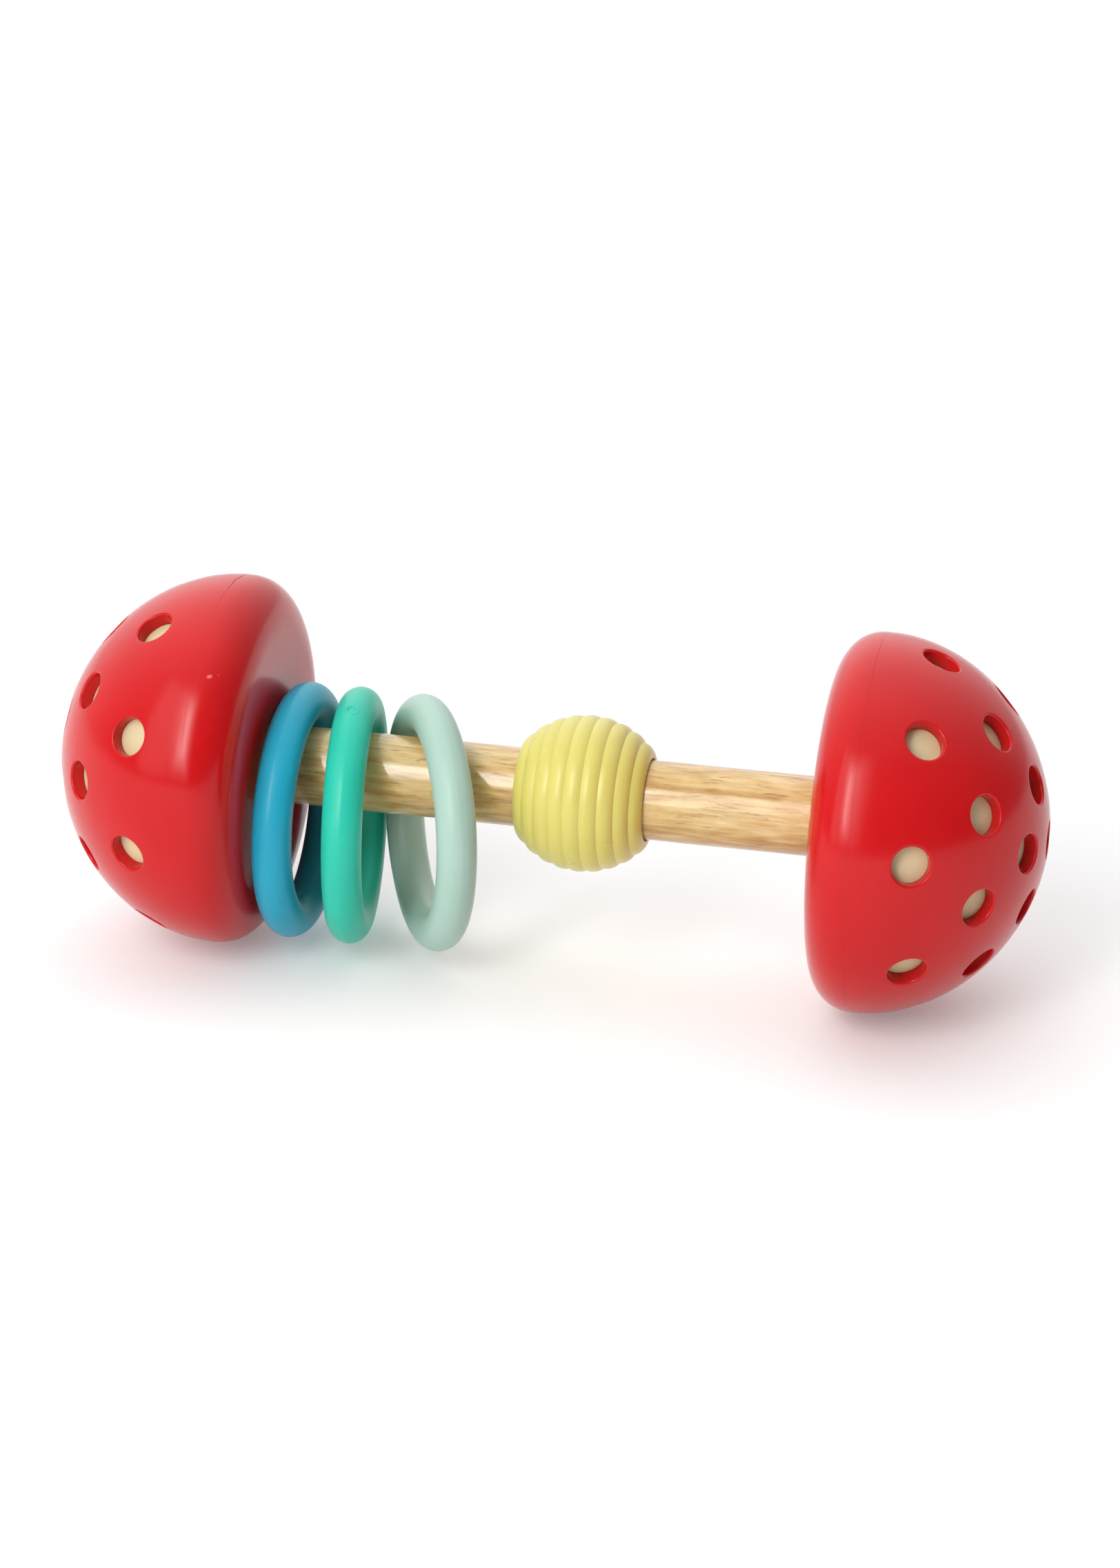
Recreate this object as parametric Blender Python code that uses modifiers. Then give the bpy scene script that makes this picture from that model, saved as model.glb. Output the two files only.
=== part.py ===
"""Baby rattle: a wooden dowel with a perforated cap on each end, three rings and a ribbed ball on it.

Metres, +Z up. The dowel's axis is X and the origin is on it, midway between the caps. -Y is the front.
Each cap is turned about its own Z, which points outwards, so its heights start at its flat back face.
"""

import math

import bmesh
import bpy
from mathutils import Matrix, Vector

MM = 0.001
GAP = 0.3 * MM  # between pieces that touch
FLAT_BACK_X = 44.9 * MM  # from the origin to each cap's flat back face

# Caps: a dome on a shallow back, parted where the cap is widest.
CAP_RADIUS = 30.0 * MM
PARTING_HEIGHT = 7.5 * MM
DOME_HEIGHT = 27.6 * MM
DOME_EXPONENT = 1.93  # 2 is an ellipse, less is more pointed
BACK_FLAT_RADIUS = 21.1 * MM
BACK_EXPONENT = 2.2
WALL = 2.2 * MM
LIP_WALL = 1.5 * MM
LIP_HEIGHT = 2.5 * MM
LINER_WALL = 1.2 * MM
SEGMENTS = 32
INNER_SEGMENTS = 24
SCREW_SEGMENTS = 14
PROFILE_STEPS = 8

# Holes: rows by their angle from the cap's axis, as (angle, count, start), angles in degrees.
HOLE_RADIUS = 3.0 * MM
HOLE_SIDES = 10
HOLE_ROWS = ((0, 1, 0), (24, 6, 20), (48, 9, 20), (72, 9, 0))
LEFT_CAP_TURN = 26
RIGHT_CAP_TURN = 2

# Dowel, its sockets and the screws that hold the caps.
DOWEL_RADIUS = 6.4 * MM
DOWEL_CHAMFER = 0.4 * MM
SOCKET_DEPTH = 10.3 * MM
SOCKET_FLOOR = 2.5 * MM
SOCKET_OUTER_RADIUS = 9.0 * MM
PILOT_RADIUS = 1.8 * MM
PILOT_DEPTH = 16.0 * MM
SCREW_RADIUS = 1.5 * MM
SCREW_LENGTH = 19.0 * MM
SCREW_HEAD_RADIUS = 3.4 * MM
SCREW_HEAD_HEIGHT = 2.2 * MM
WASHER_RADIUS = 4.5 * MM
WASHER_THICKNESS = 1.0 * MM

# Bead chamber, between the liner and the chamber plate.
PLATE_HEIGHT = 17.0 * MM
PLATE_THICKNESS = 1.5 * MM
SLEEVE_RADIUS = 11.4 * MM
SLEEVE_WALL = 1.5 * MM
BEAD_RADIUS = 2.25 * MM
BEAD_COUNT = 6
BEAD_SPREAD = 16  # degrees between neighbouring beads, which lie side by side along the bottom

# Rings hang on the dowel: (name, x, turn about Z in degrees, colour).
RING_RADIUS = 17.65 * MM  # to the middle of the tube
RING_TUBE_RADIUS = 3.2 * MM
RING_DROP = 7.7 * MM
RINGS = (
    ("ring_blue", -40.9 * MM, 0.7, (0.03, 0.37, 0.55)),
    ("ring_teal", -31.7 * MM, 7.8, (0.04, 0.60, 0.42)),
    ("ring_mint", -19.3 * MM, 28.0, (0.46, 0.64, 0.54)),
)

# Ribbed ball.
BALL_X = 6.2 * MM
BALL_RADIUS = 12.55 * MM
BALL_HALF_LENGTH = 13.1 * MM
BALL_BORE_RADIUS = 6.8 * MM
RIB_COUNT = 9
RIB_DEPTH = 0.4 * MM
RIB_STEPS = 3

RED = (0.72, 0.025, 0.025)
CREAM = (0.68, 0.52, 0.30)
YELLOW = (0.75, 0.67, 0.16)
WOOD = (0.66, 0.45, 0.22)
STEEL = (0.60, 0.60, 0.62)
BEAD_COLOUR = (0.85, 0.80, 0.70)


def clear_scene():
    for item in list(bpy.data.objects):
        bpy.data.objects.remove(item, do_unlink=True)


def new_collection(name):
    collection = bpy.data.collections.new(name)
    bpy.context.scene.collection.children.link(collection)
    return collection


def new_material(name, colour, roughness, metallic=0.0):
    material = bpy.data.materials.new(name)
    material.use_nodes = True
    shader = material.node_tree.nodes["Principled BSDF"]
    shader.inputs["Base Color"].default_value = (*colour, 1.0)
    shader.inputs["Roughness"].default_value = roughness
    shader.inputs["Metallic"].default_value = metallic
    return material


def new_object(name, mesh, collection, material, matrix):
    item = bpy.data.objects.new(name, mesh)
    item.matrix_world = matrix
    mesh.materials.append(material)
    collection.objects.link(item)
    return item


def turned(name, profile, collection, material, matrix, segments=SEGMENTS):
    """A solid turned about its own Z from (radius, height) points that run down its outer side."""
    mesh = bpy.data.meshes.new(name)
    points = [(radius, 0.0, height) for radius, height in profile]
    edges = [(i, i + 1) for i in range(len(points) - 1)]
    if profile[0][0] > 0:
        edges.append((len(points) - 1, 0))
    mesh.from_pydata(points, edges, [])
    item = new_object(name, mesh, collection, material, matrix)
    screw = item.modifiers.new("Turn", "SCREW")
    screw.axis = "Z"
    screw.steps = segments
    screw.render_steps = segments
    screw.use_merge_vertices = True
    screw.merge_threshold = 0.00001
    screw.use_smooth_shade = True
    return item


def oval_arc(radial, axial, exponent, start, end, steps):
    """Points (radius, height) on a superellipse, between two angles in degrees above its waist."""
    points = []
    for i in range(steps + 1):
        angle = math.radians(start + (end - start) * i / steps)
        radius = radial * max(math.cos(angle), 0.0) ** (2 / exponent)
        height = axial * max(math.sin(angle), 0.0) ** (2 / exponent)
        points.append((radius, height))
    return points


def dome_arc(inset, from_height=PARTING_HEIGHT):
    """The dome's profile at this depth under its surface, from the axis down to a height."""
    axial = DOME_HEIGHT - inset
    sine = ((from_height - PARTING_HEIGHT) / axial) ** (DOME_EXPONENT / 2)
    start = math.degrees(math.asin(sine))
    arc = oval_arc(CAP_RADIUS - inset, axial, DOME_EXPONENT, 90, start, PROFILE_STEPS)
    return [(radius, PARTING_HEIGHT + height) for radius, height in arc]


def shell_profile(inset, wall, bottom):
    """A closed dome-shaped shell: down the outside, then back up the inside."""
    outside = dome_arc(inset, bottom)
    inside = dome_arc(inset + wall, bottom)
    return outside + inside[::-1]


def dome_radius(inset, height):
    """The radius of the dome at a height, at this depth under its surface."""
    share = (height - PARTING_HEIGHT) / (DOME_HEIGHT - inset)
    return (CAP_RADIUS - inset) * (1 - share**DOME_EXPONENT) ** (1 / DOME_EXPONENT)


def hole_cutters(name, direction, collection, material, matrix):
    """One mesh with a round peg for each hole, square to the dome's surface.

    The cap's own X points down, so half a turn takes the start to the top. From there the holes are
    counted towards the front on both caps.
    """
    cage = bmesh.new()
    for polar, count, start in HOLE_ROWS:
        for i in range(count):
            azimuth = math.radians(180 + direction * (start + 360 * i / count))
            turn = Matrix.Rotation(azimuth, 4, "Z") @ Matrix.Rotation(math.radians(polar), 4, "Y")
            lift = Matrix.Translation((0, 0, 0.85 * CAP_RADIUS))
            bmesh.ops.create_cone(
                cage,
                cap_ends=True,
                segments=HOLE_SIDES,
                radius1=HOLE_RADIUS,
                radius2=HOLE_RADIUS,
                depth=0.5 * CAP_RADIUS,
                matrix=Matrix.Translation((0, 0, PARTING_HEIGHT)) @ turn @ lift,
            )
    mesh = bpy.data.meshes.new(name)
    cage.to_mesh(mesh)
    cage.free()
    cutter = new_object(name, mesh, collection, material, matrix)
    cutter.hide_render = True
    cutter.display_type = "WIRE"
    return cutter


def back_profile():
    """The back cover: lip, rounded corner, flat face, dowel socket and inner floor."""
    rim = PARTING_HEIGHT - GAP
    lip_outer = CAP_RADIUS - WALL - GAP
    lip_inner = lip_outer - LIP_WALL
    corner = CAP_RADIUS - BACK_FLAT_RADIUS
    bore = DOWEL_RADIUS + GAP
    floor = WALL
    outside = oval_arc(corner, rim, BACK_EXPONENT, 0, 90, PROFILE_STEPS)
    inside = oval_arc(lip_inner - BACK_FLAT_RADIUS, rim - floor, BACK_EXPONENT, 90, 0, PROFILE_STEPS // 2)
    points = [(lip_outer, PARTING_HEIGHT + LIP_HEIGHT), (lip_outer, rim)]
    points += [(BACK_FLAT_RADIUS + radius, rim - height) for radius, height in outside]
    points += [
        (bore, 0.0),
        (bore, SOCKET_DEPTH),
        (PILOT_RADIUS, SOCKET_DEPTH),
        (PILOT_RADIUS, SOCKET_DEPTH + SOCKET_FLOOR),
        (SOCKET_OUTER_RADIUS, SOCKET_DEPTH + SOCKET_FLOOR),
        (SOCKET_OUTER_RADIUS, floor),
    ]
    points += [(BACK_FLAT_RADIUS + radius, rim - height) for radius, height in inside]
    points.append((lip_inner, PARTING_HEIGHT + LIP_HEIGHT))
    return points


def plate_profile():
    """The chamber plate: a disc inside the liner, on a sleeve that stands on the back cover."""
    top = PLATE_HEIGHT + PLATE_THICKNESS
    edge = dome_radius(WALL + GAP + LINER_WALL, top) - GAP
    return [
        (0.0, top),
        (edge, top),
        (edge, PLATE_HEIGHT),
        (SLEEVE_RADIUS, PLATE_HEIGHT),
        (SLEEVE_RADIUS, WALL + GAP),
        (SLEEVE_RADIUS - SLEEVE_WALL, WALL + GAP),
        (SLEEVE_RADIUS - SLEEVE_WALL, PLATE_HEIGHT),
        (0.0, PLATE_HEIGHT),
    ]


def washer_profile(bottom):
    hole = SCREW_RADIUS + GAP
    top = bottom + WASHER_THICKNESS
    return [(WASHER_RADIUS, top), (WASHER_RADIUS, bottom), (hole, bottom), (hole, top)]


def screw_profile(seat):
    """A pan-head screw whose head sits at this height and whose point is below it."""
    dome = oval_arc(SCREW_HEAD_RADIUS, SCREW_HEAD_HEIGHT, 2.6, 90, 0, 4)
    points = [(radius, seat + height) for radius, height in dome]
    tip = seat - SCREW_LENGTH
    points += [(SCREW_RADIUS, seat), (SCREW_RADIUS, tip + 2 * SCREW_RADIUS), (0.0, tip)]
    return points


def add_bead(name, angle, collection, material, matrix):
    """A bead beside the chamber plate, on the liner's wall, at an angle round from the bottom."""
    mesh = bpy.data.meshes.new(name)
    ball = bmesh.new()
    bmesh.ops.create_icosphere(ball, subdivisions=2, radius=BEAD_RADIUS)
    ball.to_mesh(mesh)
    ball.free()
    mesh.shade_smooth()
    height = PLATE_HEIGHT + PLATE_THICKNESS + GAP + BEAD_RADIUS
    circle = dome_radius(WALL + GAP + LINER_WALL + GAP + BEAD_RADIUS, height)
    turn = Matrix.Rotation(math.radians(angle), 4, "X")
    place = turn @ Vector((0.0, 0.0, -circle))
    place.x = (matrix @ Vector((0.0, 0.0, height))).x
    return new_object(name, mesh, collection, material, Matrix.Translation(place))


def add_cap(side, direction, turn, parts, cutters, materials):
    """One end of the rattle, with everything it holds."""
    outward = Matrix.Rotation(math.radians(90 * direction), 4, "Y")
    place = Matrix.Translation((direction * FLAT_BACK_X, 0, 0)) @ outward
    dome = turned(f"{side}_cap_dome", shell_profile(0.0, WALL, PARTING_HEIGHT), parts, materials["red"], place)
    roll = Matrix.Rotation(math.radians(turn), 4, "X")
    flip = Matrix.Rotation(math.radians(90 - 90 * direction), 4, "Z")
    pegs = hole_cutters(f"{side}_hole_cutters", direction, cutters, materials["red"], roll @ place @ flip)
    cut = dome.modifiers.new("Holes", "BOOLEAN")
    cut.operation = "DIFFERENCE"
    cut.solver = "EXACT"
    cut.object = pegs
    turned(f"{side}_cap_back", back_profile(), parts, materials["red"], place)
    liner = shell_profile(WALL + GAP, LINER_WALL, PARTING_HEIGHT + LIP_HEIGHT + GAP)
    turned(f"{side}_hole_liner", liner, parts, materials["cream"], place, INNER_SEGMENTS)
    turned(f"{side}_chamber_plate", plate_profile(), parts, materials["cream"], place, INNER_SEGMENTS)
    washer_bottom = SOCKET_DEPTH + SOCKET_FLOOR + GAP
    turned(f"{side}_cap_washer", washer_profile(washer_bottom), parts, materials["steel"], place, SCREW_SEGMENTS)
    seat = washer_bottom + WASHER_THICKNESS + GAP
    turned(f"{side}_cap_screw", screw_profile(seat), parts, materials["steel"], place, SCREW_SEGMENTS)
    for i in range(BEAD_COUNT):
        angle = BEAD_SPREAD * (i - (BEAD_COUNT - 1) / 2)
        add_bead(f"{side}_bead_{i + 1}", angle, parts, materials["bead"], place)


def add_dowel(parts, material):
    end = FLAT_BACK_X + SOCKET_DEPTH - GAP
    half = [
        (0.0, end - PILOT_DEPTH),
        (PILOT_RADIUS, end - PILOT_DEPTH),
        (PILOT_RADIUS, end),
        (DOWEL_RADIUS - DOWEL_CHAMFER, end),
        (DOWEL_RADIUS, end - DOWEL_CHAMFER),
    ]
    profile = half + [(radius, -height) for radius, height in half[::-1]]
    along_x = Matrix.Rotation(math.radians(90), 4, "Y")
    turned("handle_dowel", profile, parts, material, along_x, INNER_SEGMENTS)


def ball_profile():
    """Nine rounded ribs of equal width along an oval, and a plain bore."""
    widest = math.acos(BALL_BORE_RADIUS / (BALL_RADIUS - RIB_DEPTH))
    steps = RIB_COUNT * RIB_STEPS
    points = []
    for i in range(steps + 1):
        angle = widest * (1 - 2 * i / steps)
        from_crest = (i / RIB_STEPS) % 1.0 - 0.5
        depth = RIB_DEPTH * (2 * from_crest) ** 2
        radius = (BALL_RADIUS - depth) * math.cos(angle)
        height = (BALL_HALF_LENGTH - depth) * math.sin(angle)
        points.append((radius, height))
    return points


def add_ball(parts, material):
    place = Matrix.Translation((BALL_X, 0, 0)) @ Matrix.Rotation(math.radians(90), 4, "Y")
    turned("ribbed_ball", ball_profile(), parts, material, place, INNER_SEGMENTS)


def add_ring(name, x, turn, colour, parts):
    """A torus standing across the dowel, hung from its inner side, turned a little about the vertical."""
    upright = Matrix.Rotation(math.radians(turn), 4, "Z") @ Matrix.Rotation(math.radians(90), 4, "Y")
    bpy.ops.mesh.primitive_torus_add(
        major_radius=RING_RADIUS,
        minor_radius=RING_TUBE_RADIUS,
        major_segments=SEGMENTS,
        minor_segments=8,
    )
    ring = bpy.context.object
    ring.name = name
    ring.matrix_world = Matrix.Translation((x, 0, -RING_DROP)) @ upright
    ring.data.materials.append(new_material(name, colour, 0.35))
    ring.data.shade_smooth()
    for holder in list(ring.users_collection):
        holder.objects.unlink(ring)
    parts.objects.link(ring)


def main():
    clear_scene()
    parts = new_collection("baby_rattle")
    cutters = new_collection("cutters")
    materials = {
        "red": new_material("red_plastic", RED, 0.35),
        "cream": new_material("cream_plastic", CREAM, 0.5),
        "steel": new_material("steel", STEEL, 0.3, 1.0),
        "bead": new_material("bead_plastic", BEAD_COLOUR, 0.4),
    }
    add_dowel(parts, new_material("varnished_wood", WOOD, 0.3))
    add_cap("left", -1, LEFT_CAP_TURN, parts, cutters, materials)
    add_cap("right", 1, RIGHT_CAP_TURN, parts, cutters, materials)
    add_ball(parts, new_material("yellow_plastic", YELLOW, 0.4))
    for name, x, turn, colour in RINGS:
        add_ring(name, x, turn, colour, parts)


main()
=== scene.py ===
"""The finished look of the baby rattle: fine meshes, materials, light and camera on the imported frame.

Metres, +Z up. The dowel's axis is X, the origin is midway between the caps, and -Y is the front.
"""

import math
import bpy
import numpy as np
from mathutils import Matrix, Vector, noise
from mathutils.geometry import delaunay_2d_cdt


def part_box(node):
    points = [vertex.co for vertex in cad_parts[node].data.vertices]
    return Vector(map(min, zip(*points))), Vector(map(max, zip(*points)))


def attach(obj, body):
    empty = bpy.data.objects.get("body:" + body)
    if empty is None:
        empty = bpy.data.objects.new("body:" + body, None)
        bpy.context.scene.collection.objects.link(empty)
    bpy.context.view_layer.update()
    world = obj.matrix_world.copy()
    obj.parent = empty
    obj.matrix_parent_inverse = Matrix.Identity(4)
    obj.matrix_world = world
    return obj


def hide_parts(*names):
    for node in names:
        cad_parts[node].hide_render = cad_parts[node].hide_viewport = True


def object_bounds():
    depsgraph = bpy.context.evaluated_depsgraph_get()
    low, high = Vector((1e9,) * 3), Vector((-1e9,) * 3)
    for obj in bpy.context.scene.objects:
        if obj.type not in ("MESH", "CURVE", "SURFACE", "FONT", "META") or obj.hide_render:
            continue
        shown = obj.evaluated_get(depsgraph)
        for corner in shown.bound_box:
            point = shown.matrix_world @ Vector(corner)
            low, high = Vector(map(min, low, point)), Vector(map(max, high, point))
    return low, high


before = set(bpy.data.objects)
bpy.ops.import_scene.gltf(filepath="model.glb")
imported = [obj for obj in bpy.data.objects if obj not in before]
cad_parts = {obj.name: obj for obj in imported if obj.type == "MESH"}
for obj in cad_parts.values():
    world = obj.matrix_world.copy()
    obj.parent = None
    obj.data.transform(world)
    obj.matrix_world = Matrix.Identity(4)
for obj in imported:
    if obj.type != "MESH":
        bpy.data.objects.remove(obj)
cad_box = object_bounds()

MM = 0.001
GAP = 0.3 * MM  # between pieces that touch
SHARP_ANGLE = math.radians(38)  # edges bent more than this stay crisp

# Caps. Heights run outwards from each cap's flat back face.
FLAT_BACK_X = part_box("right_cap_back")[0][0]
CAP_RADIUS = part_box("right_cap_back")[1][2]
PARTING_HEIGHT = 7.5 * MM
DOME_HEIGHT = 27.52 * MM
DOME_EXPONENT = 1.93
BACK_FLAT_RADIUS = 21.1 * MM
BACK_EXPONENT = 2.2
WALL = 2.2 * MM
LIP_WALL = 1.5 * MM
LIP_HEIGHT = 2.5 * MM
LINER_WALL = 1.2 * MM
LINER_GAP = 0.1 * MM  # closer under the dome than in the CAD

# The seam between a cap's dome and back. Its open stretch lies behind the top, its hairline in front.
SEAM_EDGE = 0.004 * MM
SEAM_DROP = 0.33 * MM  # below the parting plane
SEAM_CLOSED = 0.0008 * MM  # half the gap where it is closed
SEAM_HAIRLINE = 0.007 * MM
SEAM_OPEN_AT, SEAM_OPEN_SPREAD = math.radians(-9), math.radians(6.5)
SEAM_HAIRLINE_AT, SEAM_HAIRLINE_SPREAD = math.radians(11), math.radians(6)
SEAM_BAND = 0.05 * MM  # of the back's side under the seam, which moves fully with it
RIM_SIDES = 360

HOLE_RADIUS = 3.0 * MM
HOLE_EDGE = 0.45 * MM
HOLE_REACH = HOLE_RADIUS + HOLE_EDGE
HOLE_SIDES = 48
HOLE_APRONS = (0.3 * MM, 0.75 * MM)  # extra loops round a hole's edge
HOLE_CLEARING = 1.15 * MM  # no other points of the dome come closer to the edge
# Angle from the pole, number of holes and the first one's angle round the pole, in degrees.
HOLE_ROWS = ((0, 1, 0), (24, 6, 20), (48, 9, 20), (72, 9, 0))
DOME_ROWS = 44
DOME_COLUMNS = 200  # at the dome's widest
# Side, direction along X, turn about X in degrees, and half the seam's gap where it is most open.
CAPS = (("left", -1, 26, 0.078 * MM), ("right", 1, 2, 0.004 * MM))

DOWEL_RADIUS = 6.4 * MM
SOCKET_DEPTH = 10.3 * MM
SOCKET_FLOOR = 2.5 * MM
SOCKET_OUTER_RADIUS = 9.0 * MM
PILOT_RADIUS = 1.8 * MM
PILOT_DEPTH = 16.0 * MM
SCREW_RADIUS = 1.5 * MM
SCREW_LENGTH = 19.0 * MM
SCREW_HEAD_RADIUS = 3.4 * MM
SCREW_HEAD_HEIGHT = 2.2 * MM
SCREW_HEAD_EXPONENT = 2.6
SCREW_RECESS = 1.25 * MM
THREAD_PITCH = 1.3 * MM
WASHER_RADIUS = 4.5 * MM
WASHER_THICKNESS = 1.0 * MM
PLATE_HEIGHT = 17.0 * MM
PLATE_THICKNESS = 1.5 * MM
SLEEVE_RADIUS = 11.4 * MM
SLEEVE_WALL = 1.5 * MM
BEAD_RADIUS = 2.25 * MM
BEADS = 6  # in each cap

RING_RADIUS = 17.65 * MM
RING_TUBE_RADIUS = 3.2 * MM
RING_TURNS = {"ring_blue": 0.7, "ring_teal": 7.8, "ring_mint": 28.0}  # about the vertical, in degrees
MOULD_LINE = 0.025 * MM
GATE_MARK_TURN = math.radians(180 + 16)  # a ring's own X points down, so this is a little in front of its top
GATE_MARK_RADIUS = 0.82 * MM
GATE_DIMPLE = 0.12 * MM  # half its depth
GATE_LIP = 0.09 * MM
GATE_LIP_RADIUS = 1.02 * MM

BALL_RADIUS = 12.55 * MM
BALL_HALF_LENGTH = 13.1 * MM
BALL_BORE_RADIUS = 6.6 * MM
RIB_COUNT = 9
RIB_DEPTH = 0.31 * MM

ALONG_X = Matrix.Rotation(math.radians(90), 4, "Y")  # from a profile's own Z to the dowel's axis

# Places of the small knot beside the ball and of the pale scuffs on the left cap.
KNOT = (-5.8 * MM, -4.1 * MM, 4.9 * MM)
SCUFFS = ((-49.6 * MM, -21.5 * MM, 20.9 * MM), (-48.3 * MM, -21.4 * MM, 21.0 * MM))

FLOOR_DROP = 0.4 * MM
FLOOR_REACH = 4.0
LIGHT_DISTANCE = 1.2
# Azimuth from -Y towards +X and elevation in degrees, width and height in metres, power in watts.
SOFT_BOXES = {
    "key_soft_box_core": (-16.5, 31, 0.17, 0.62, 2.6),
    "key_soft_box": (-15, 31, 0.38, 0.90, 4.3),
    "key_soft_box_edge": (-13, 31, 0.66, 1.20, 3.6),
    "side_soft_box": (-41, 28, 0.52, 1.10, 3),
}
SKY_BRIGHTEST = (-0.25, 0.55, 0.8)
CAMERA_TARGET = (0.00197, 0.0, 0.001155)
CAMERA_DISTANCE = 0.5685
CAMERA_ELEVATION = math.radians(20.0)
CAMERA_AZIMUTH, CAMERA_ROLL = 0.203, 0.0295  # radians
CAMERA_LENS, CAMERA_SENSOR = 81.77, 36.0  # millimetres


# ---------------------------------------------------------------- meshes


def piece(name, node, body, slot, points, faces, material, matrix=None, normals=None):
    """A finished mesh that stands for a CAD node and rides on its body."""
    if matrix is not None:
        points = [matrix @ Vector(p) for p in points]
        if matrix.determinant() < 0:
            faces = [face[::-1] for face in faces]
    mesh = bpy.data.meshes.new(name)
    mesh.from_pydata([tuple(p) for p in points], [], faces)
    mesh.validate(clean_customdata=False)
    mesh.shade_smooth()
    if normals is None:
        mesh.set_sharp_from_angle(angle=SHARP_ANGLE)
    else:
        mesh.normals_split_custom_set(normals)
    mesh.materials.append(material)
    item = bpy.data.objects.new(name, mesh)
    bpy.context.scene.collection.objects.link(item)
    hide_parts(node)
    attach(item, body)


def lathe(profile, segments, shape=None):
    """Points and faces of a profile of (radius, height) turned about Z, closed on the axis or on itself.

    shape moves a point given as (radius, angle, height) and returns the new (radius, angle, height).
    """
    shape = shape or (lambda radius, angle, height: (radius, angle, height))
    points, rows = [], []
    for radius, height in profile:
        if radius < 1e-9:
            rows.append([len(points)] * segments)
            points.append((0.0, 0.0, height))
            continue
        rows.append([len(points) + i for i in range(segments)])
        for i in range(segments):
            r, a, h = shape(radius, 2 * math.pi * i / segments, height)
            points.append((r * math.cos(a), r * math.sin(a), h))
    if profile[0][0] > 1e-9:
        rows.append(rows[0])
    faces = []
    for upper, lower in zip(rows, rows[1:]):
        for i in range(segments):
            j = (i + 1) % segments
            corners = [upper[i], lower[i], lower[j], upper[j]]
            faces.append([c for k, c in enumerate(corners) if c != corners[k - 1]])
    return points, faces


def oval_arc(radial, axial, exponent, start, end, steps):
    """Points (radius, height) on a superellipse, between two angles in degrees above its waist."""
    points = []
    for i in range(steps + 1):
        angle = math.radians(start + (end - start) * i / steps)
        radius = radial * max(math.cos(angle), 0.0) ** (2 / exponent)
        height = axial * max(math.sin(angle), 0.0) ** (2 / exponent)
        points.append((radius, height))
    return points


def rounded(profile, radius):
    """The closed profile with every corner sharper than 30 degrees rounded."""
    steps, count = 4, len(profile)
    result = []
    for i in range(count):
        before, here, after = (Vector(profile[(i + k) % count]) for k in (-1, 0, 1))
        if here.x < 1e-9:
            result.append(tuple(here))
            continue
        a, b = before - here, after - here
        bend = math.pi - a.angle(b)
        if bend < math.radians(30):
            result.append(tuple(here))
            continue
        reach = min(radius * math.tan(bend / 2), 0.45 * a.length, 0.45 * b.length)
        start, end = here + a.normalized() * reach, here + b.normalized() * reach
        for k in range(steps + 1):
            t = k / steps
            result.append(tuple(start.lerp(here, t).lerp(here.lerp(end, t), t)))
    return result


def outward_matrix(direction):
    """From a cap's own frame, Z pointing out of the handle, to the row frame."""
    turn = Matrix.Rotation(math.radians(90 * direction), 4, "Y")
    return Matrix.Translation((direction * FLAT_BACK_X, 0, 0)) @ turn


# ---------------------------------------------------------------- domes


def dome_reach(directions, inset):
    """Distance from the middle of the parting plane to the dome along unit directions (x outwards)."""
    radial = np.hypot(directions[:, 1], directions[:, 2]) / (CAP_RADIUS - inset)
    axial = np.clip(directions[:, 0], 0, None) / (DOME_HEIGHT - inset)
    return (radial**DOME_EXPONENT + axial**DOME_EXPONENT) ** (-1 / DOME_EXPONENT)


def dome_normals(points, inset):
    """Unit normals of the dome at points on it."""
    radial = np.hypot(points[:, 1], points[:, 2])
    n = DOME_EXPONENT
    slope_r = radial ** (n - 1) / (CAP_RADIUS - inset) ** n
    slope_x = np.clip(points[:, 0], 0, None) ** (n - 1) / (DOME_HEIGHT - inset) ** n
    share = slope_r / np.maximum(radial, 1e-12)
    normal = np.stack([slope_x, points[:, 1] * share, points[:, 2] * share], axis=1)
    return normal / np.linalg.norm(normal, axis=1, keepdims=True)


def on_dome_round(axis, distance, inset):
    """Points on the dome round a hole's axis, at a distance from it, and their directions from the axis."""
    side = Vector(axis).orthogonal().normalized()
    other = Vector(axis).cross(side)
    turn = np.arange(HOLE_SIDES) * 2 * math.pi / HOLE_SIDES
    radial = np.outer(np.cos(turn), side) + np.outer(np.sin(turn), other)
    along = np.full(HOLE_SIDES, CAP_RADIUS - inset)
    for _ in range(40):
        points = along[:, None] * np.array(axis) + radial * distance
        length = np.linalg.norm(points, axis=1)
        along += dome_reach(points / length[:, None], inset) - length
    return along[:, None] * np.array(axis) + radial * distance, radial


def hole_axes():
    """Unit axes of a cap's holes, x outwards, counted from the top towards the front."""
    axes = []
    for polar, count, start in HOLE_ROWS:
        for i in range(count):
            angle = math.radians(start + 360 * i / count)
            p = math.radians(polar)
            axes.append((math.cos(p), -math.sin(p) * math.sin(angle), math.sin(p) * math.cos(angle)))
    return axes


def flat_map(points):
    """Stereographic plane coordinates of points round the middle of the parting plane."""
    unit = points / np.linalg.norm(points, axis=1, keepdims=True)
    return unit[:, 1:] / (1 + unit[:, :1])


def unflat_map(flat):
    square = (flat**2).sum(axis=1, keepdims=True)
    return np.hstack([1 - square, 2 * flat]) / (1 + square)


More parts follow.
